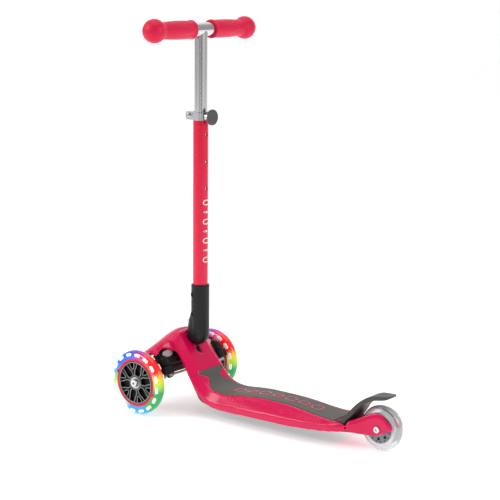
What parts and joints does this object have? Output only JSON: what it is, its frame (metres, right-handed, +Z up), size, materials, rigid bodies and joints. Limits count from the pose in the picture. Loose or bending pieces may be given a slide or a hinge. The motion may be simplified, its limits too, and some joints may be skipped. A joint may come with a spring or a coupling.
{
  "type": "kick scooter",
  "caption": "Lean-to-steer folding kick scooter for a small child, with two front wheels, a rear brake and a height-adjusted T-bar.",
  "frame": {"origin": "on the ground under the middle of the whole outline", "axes": "+X forward, +Y to the rider's left, +Z up"},
  "size_m": [0.5694, 0.2988, 0.7324],
  "materials": {
    "deck_red": "gloss",
    "casing_black": "satin",
    "pad_grey": "matte grip rubber",
    "joint_black": "satin",
    "brake_grey": "satin",
    "tube_red": "gloss powder coat",
    "tube_silver": "satin anodised",
    "bright_steel": "zinc plated",
    "black_steel": "blackened",
    "spring_steel": "spring steel",
    "bearing_steel": "polished",
    "spacer_alloy": "turned",
    "bush_white": "natural acetal",
    "collar_alloy": "satin",
    "knob_black": "satin",
    "grip_red": "soft matte",
    "tyre_clear": "translucent cast urethane",
    "light_ring": "translucent white",
    "rim_red": "gloss",
    "core_black": "satin",
    "core_grey": "satin"
  },
  "bodies": {
    "deck": {"deck_shell": "deck_red", "under_cover": "casing_black", "cover_screws": "bright_steel", "deck_pad": "pad_grey", "truck_housing": "casing_black", "trim_plates": "bright_steel", "kingpin_bolts": "black_steel", "kingpin_nuts": "bright_steel", "centring_springs": "spring_steel", "fold_bracket": "bright_steel", "fold_pin": "bright_steel", "lock_button_spring": "spring_steel", "rear_axle_bolt": "bright_steel", "rear_axle_nut": "bright_steel", "brake_pin": "bright_steel", "brake_spring": "spring_steel"},
    "knuckle_left": {"knuckle_left": "casing_black", "kingpin_bush_left": "bush_white", "axle_bolt_left": "bright_steel"},
    "knuckle_right": {"knuckle_right": "casing_black", "kingpin_bush_right": "bush_white", "axle_bolt_right": "bright_steel"},
    "tie_rod": {"tie_rod": "bright_steel"},
    "wheel_left": {"wheel_left_tyre": "tyre_clear", "wheel_left_light_ring": "light_ring", "wheel_left_rim_ring": "rim_red", "wheel_left_core": "core_black", "wheel_left_bearings": "bearing_steel", "wheel_left_spacer": "spacer_alloy"},
    "wheel_right": {"wheel_right_tyre": "tyre_clear", "wheel_right_light_ring": "light_ring", "wheel_right_rim_ring": "rim_red", "wheel_right_core": "core_black", "wheel_right_bearings": "bearing_steel", "wheel_right_spacer": "spacer_alloy"},
    "rear_wheel": {"rear_tyre": "tyre_clear", "rear_core": "core_grey", "rear_bearings": "bearing_steel", "rear_spacer": "spacer_alloy"},
    "brake": {"brake": "brake_grey"},
    "steering_lock_button": {"steering_lock_button": "knob_black"},
    "post": {"fold_knuckle": "joint_black", "pin_cap": "joint_black", "sleeve_bolts": "bright_steel", "fold_latch_spring": "spring_steel", "outer_tube": "tube_red", "guide_bush": "bush_white", "clamp_collar": "collar_alloy", "pinch_bolt": "bright_steel", "pinch_nut": "bright_steel"},
    "fold_latch": {"fold_latch": "joint_black"},
    "lock_knob": {"lock_knob": "knob_black"},
    "handlebar": {"inner_tube": "tube_silver", "crossbar": "tube_silver", "grip_left": "grip_red", "grip_right": "grip_red", "snap_spring": "spring_steel"},
    "snap_button": {"snap_button": "bright_steel"}
  },
  "joints": [
    {"name": "steer_left", "type": "hinge", "parent": "deck", "child": "knuckle_left", "pos_m": [0.184, 0.075, 0.08875], "axis": [0.512, 0, 0.859], "range_deg": [-12, 12], "stiffness_Nm_per_rad": 4, "deforming": ["centring_springs"]},
    {"name": "steer_right", "type": "hinge", "parent": "deck", "child": "knuckle_right", "pos_m": [0.184, -0.075, 0.08875], "axis": [0.512, 0, 0.859], "range_deg": [-12, 12]},
    {"name": "tie_rod_pivot", "type": "hinge", "parent": "knuckle_left", "child": "tie_rod", "pos_m": [0.20118, 0.075, 0.07851], "axis": [0.512, 0, 0.859], "range_deg": [-12, 12]},
    {"name": "wheel_left_spin", "type": "hinge", "parent": "knuckle_left", "child": "wheel_left", "pos_m": [0.22425, 0.109, 0.0605], "axis": [0, 1, 0], "continuous": true},
    {"name": "wheel_right_spin", "type": "hinge", "parent": "knuckle_right", "child": "wheel_right", "pos_m": [0.22425, -0.109, 0.0605], "axis": [0, 1, 0], "continuous": true},
    {"name": "rear_wheel_spin", "type": "hinge", "parent": "deck", "child": "rear_wheel", "pos_m": [-0.24475, 0, 0.04], "axis": [0, 1, 0], "continuous": true},
    {"name": "brake_press", "type": "hinge", "parent": "deck", "child": "brake", "pos_m": [-0.177, 0, 0.0405], "axis": [0, -1, 0], "range_deg": [0, 7.5], "stiffness_Nm_per_rad": 3, "springref_deg": -5.73},
    {"name": "steering_lock_press", "type": "slide", "parent": "deck", "child": "steering_lock_button", "axis": [-1, 0, 0], "range_m": [0, 0.003], "stiffness_N_per_m": 600, "deforming": ["lock_button_spring"]},
    {"name": "fold", "type": "hinge", "parent": "deck", "child": "post", "pos_m": [0.171, 0, 0.143], "axis": [0, -1, 0], "range_deg": [0, 90]},
    {"name": "fold_release", "type": "slide", "parent": "post", "child": "fold_latch", "axis": [-1, 0, 0], "range_m": [0, 0.0035], "stiffness_N_per_m": 600, "deforming": ["fold_latch_spring"]},
    {"name": "lock_knob_turn", "type": "hinge", "parent": "post", "child": "lock_knob", "pos_m": [0.13585, 0, 0.5525], "axis": [1, 0, 0], "range_deg": [0, 270]},
    {"name": "height_slide", "type": "slide", "parent": "post", "child": "handlebar", "axis": [0, 0, 1], "range_m": [-0.05, 0.05]},
    {"name": "snap_button_press", "type": "slide", "parent": "handlebar", "child": "snap_button", "axis": [1, 0, 0], "range_m": [0, 0.0012], "stiffness_N_per_m": 500, "deforming": ["snap_spring"]}
  ],
  "couplings": [
    {"joint": "steer_right", "follows": "steer_left", "ratio": 1},
    {"joint": "tie_rod_pivot", "follows": "steer_left", "ratio": -1}
  ]
}
